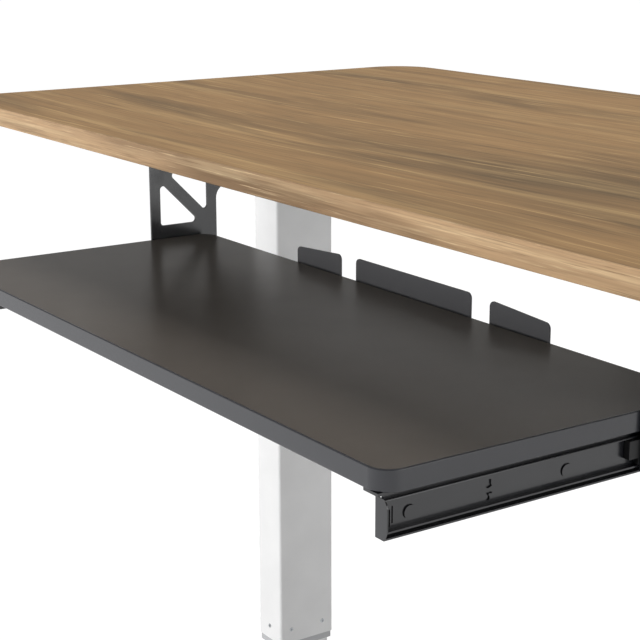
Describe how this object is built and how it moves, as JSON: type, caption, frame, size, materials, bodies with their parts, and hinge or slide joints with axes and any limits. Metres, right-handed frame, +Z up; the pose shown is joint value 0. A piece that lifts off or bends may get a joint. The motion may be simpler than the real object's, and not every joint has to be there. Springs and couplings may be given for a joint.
{
  "type": "computer desk with keyboard tray",
  "caption": "Rectangular sit-stand desk: wood-look top on telescopic white columns and feet, with a black keyboard tray that slides on rails between truss brackets.",
  "frame": {"origin": "on the floor, centred under the object's box with the keyboard tray pulled out", "axes": "+X along the width of the desktop, +Y from the user to the back, +Z up"},
  "size_m": [1.14, 0.7086, 0.77],
  "materials": {
    "oak_laminate": "satin melamine laminate, brown oak grain",
    "oak_edge_band": "satin edge band, lighter oak",
    "black_laminate": "satin black laminate on fibreboard",
    "black_edge_band": "satin black edge band",
    "black_powder_coat": "fine-textured satin powder coat on sheet steel",
    "black_nylon": "moulded nylon",
    "white_powder_coat": "satin white powder coat",
    "grey_nylon": "moulded nylon",
    "zinc_plated_steel": "zinc plated",
    "bronze": "machined",
    "cast_housing": "die cast, matte",
    "motor_can": "black painted steel",
    "black_abs": "moulded, fine texture",
    "grey_abs": "moulded"
  },
  "bodies": {
    "base": {"foot_left": "white_powder_coat", "foot_right": "white_powder_coat", "levelling_feet_left": "black_nylon", "levelling_feet_right": "black_nylon", "foot_bolts_left": "zinc_plated_steel", "foot_bolts_right": "zinc_plated_steel", "base_plate_left": "white_powder_coat", "base_plate_right": "white_powder_coat", "inner_column_left": "white_powder_coat", "inner_column_right": "white_powder_coat", "spindle_nut_left": "bronze", "spindle_nut_right": "bronze"},
    "upper": {"desktop": "oak_laminate", "desktop_edging": "oak_edge_band", "truss_bracket_left": "black_powder_coat", "truss_bracket_right": "black_powder_coat", "slide_block_left": "black_nylon", "slide_block_right": "black_nylon", "outer_column_left": "white_powder_coat", "outer_column_right": "white_powder_coat", "support_arm_left": "white_powder_coat", "support_arm_right": "white_powder_coat", "crossbeam": "white_powder_coat", "column_bush_left": "grey_nylon", "column_bush_right": "grey_nylon", "truss_screws": "zinc_plated_steel", "block_rivets": "zinc_plated_steel", "arm_screws": "zinc_plated_steel", "gearbox_bolts": "zinc_plated_steel", "housing_bolts": "zinc_plated_steel", "box_screws": "zinc_plated_steel", "handset_screws": "zinc_plated_steel", "bush_screws_left": "zinc_plated_steel", "bush_screws_right": "zinc_plated_steel", "gearbox_left": "cast_housing", "gearbox_right": "cast_housing", "motor_housing": "cast_housing", "motor": "motor_can", "control_box": "black_abs", "handset": "black_abs"},
    "tray": {"tray_board": "black_laminate", "tray_edging": "black_edge_band", "stop_plate_left": "black_powder_coat", "stop_plate_middle": "black_powder_coat", "stop_plate_right": "black_powder_coat", "stop_screws": "zinc_plated_steel", "rail_rivets": "black_powder_coat", "angle_screws": "zinc_plated_steel", "rail_left": "black_powder_coat", "rail_right": "black_powder_coat", "rail_angle_left": "black_powder_coat", "rail_angle_right": "black_powder_coat"},
    "spindle_left": {"spindle_left": "zinc_plated_steel"},
    "spindle_right": {"spindle_right": "zinc_plated_steel"},
    "drive_shaft": {"drive_shaft": "zinc_plated_steel"},
    "button_up": {"button_up": "grey_abs"},
    "button_down": {"button_down": "grey_abs"}
  },
  "joints": [
    {"name": "lift", "type": "slide", "parent": "base", "child": "upper", "axis": [0, 0, 1], "range_m": [-0.055, 0.385]},
    {"name": "tray_slide", "type": "slide", "parent": "upper", "child": "tray", "axis": [0, 1, 0], "range_m": [0, 0.2]},
    {"name": "spindle_left_spin", "type": "hinge", "parent": "upper", "child": "spindle_left", "pos_m": [-0.375, 0.05275, 0.752], "axis": [0, 0, 1], "range_deg": [-2480, 17330]},
    {"name": "spindle_right_spin", "type": "hinge", "parent": "upper", "child": "spindle_right", "pos_m": [0.375, 0.05275, 0.752], "axis": [0, 0, 1], "range_deg": [-2480, 17330]},
    {"name": "drive_shaft_spin", "type": "hinge", "parent": "upper", "child": "drive_shaft", "pos_m": [0, 0.05275, 0.7285], "axis": [1, 0, 0], "range_deg": [-2480, 17330]},
    {"name": "button_up_press", "type": "slide", "parent": "upper", "child": "button_up", "axis": [0, 1, 0], "range_m": [0, 0.001], "stiffness_N_per_m": 800, "springref_m": -0.001},
    {"name": "button_down_press", "type": "slide", "parent": "upper", "child": "button_down", "axis": [0, 1, 0], "range_m": [0, 0.001], "stiffness_N_per_m": 800, "springref_m": -0.001}
  ],
  "couplings": [
    {"joint": "spindle_left_spin", "follows": "lift", "rad_per_m": 785.4},
    {"joint": "spindle_right_spin", "follows": "lift", "rad_per_m": 785.4},
    {"joint": "drive_shaft_spin", "follows": "lift", "rad_per_m": 785.4}
  ]
}
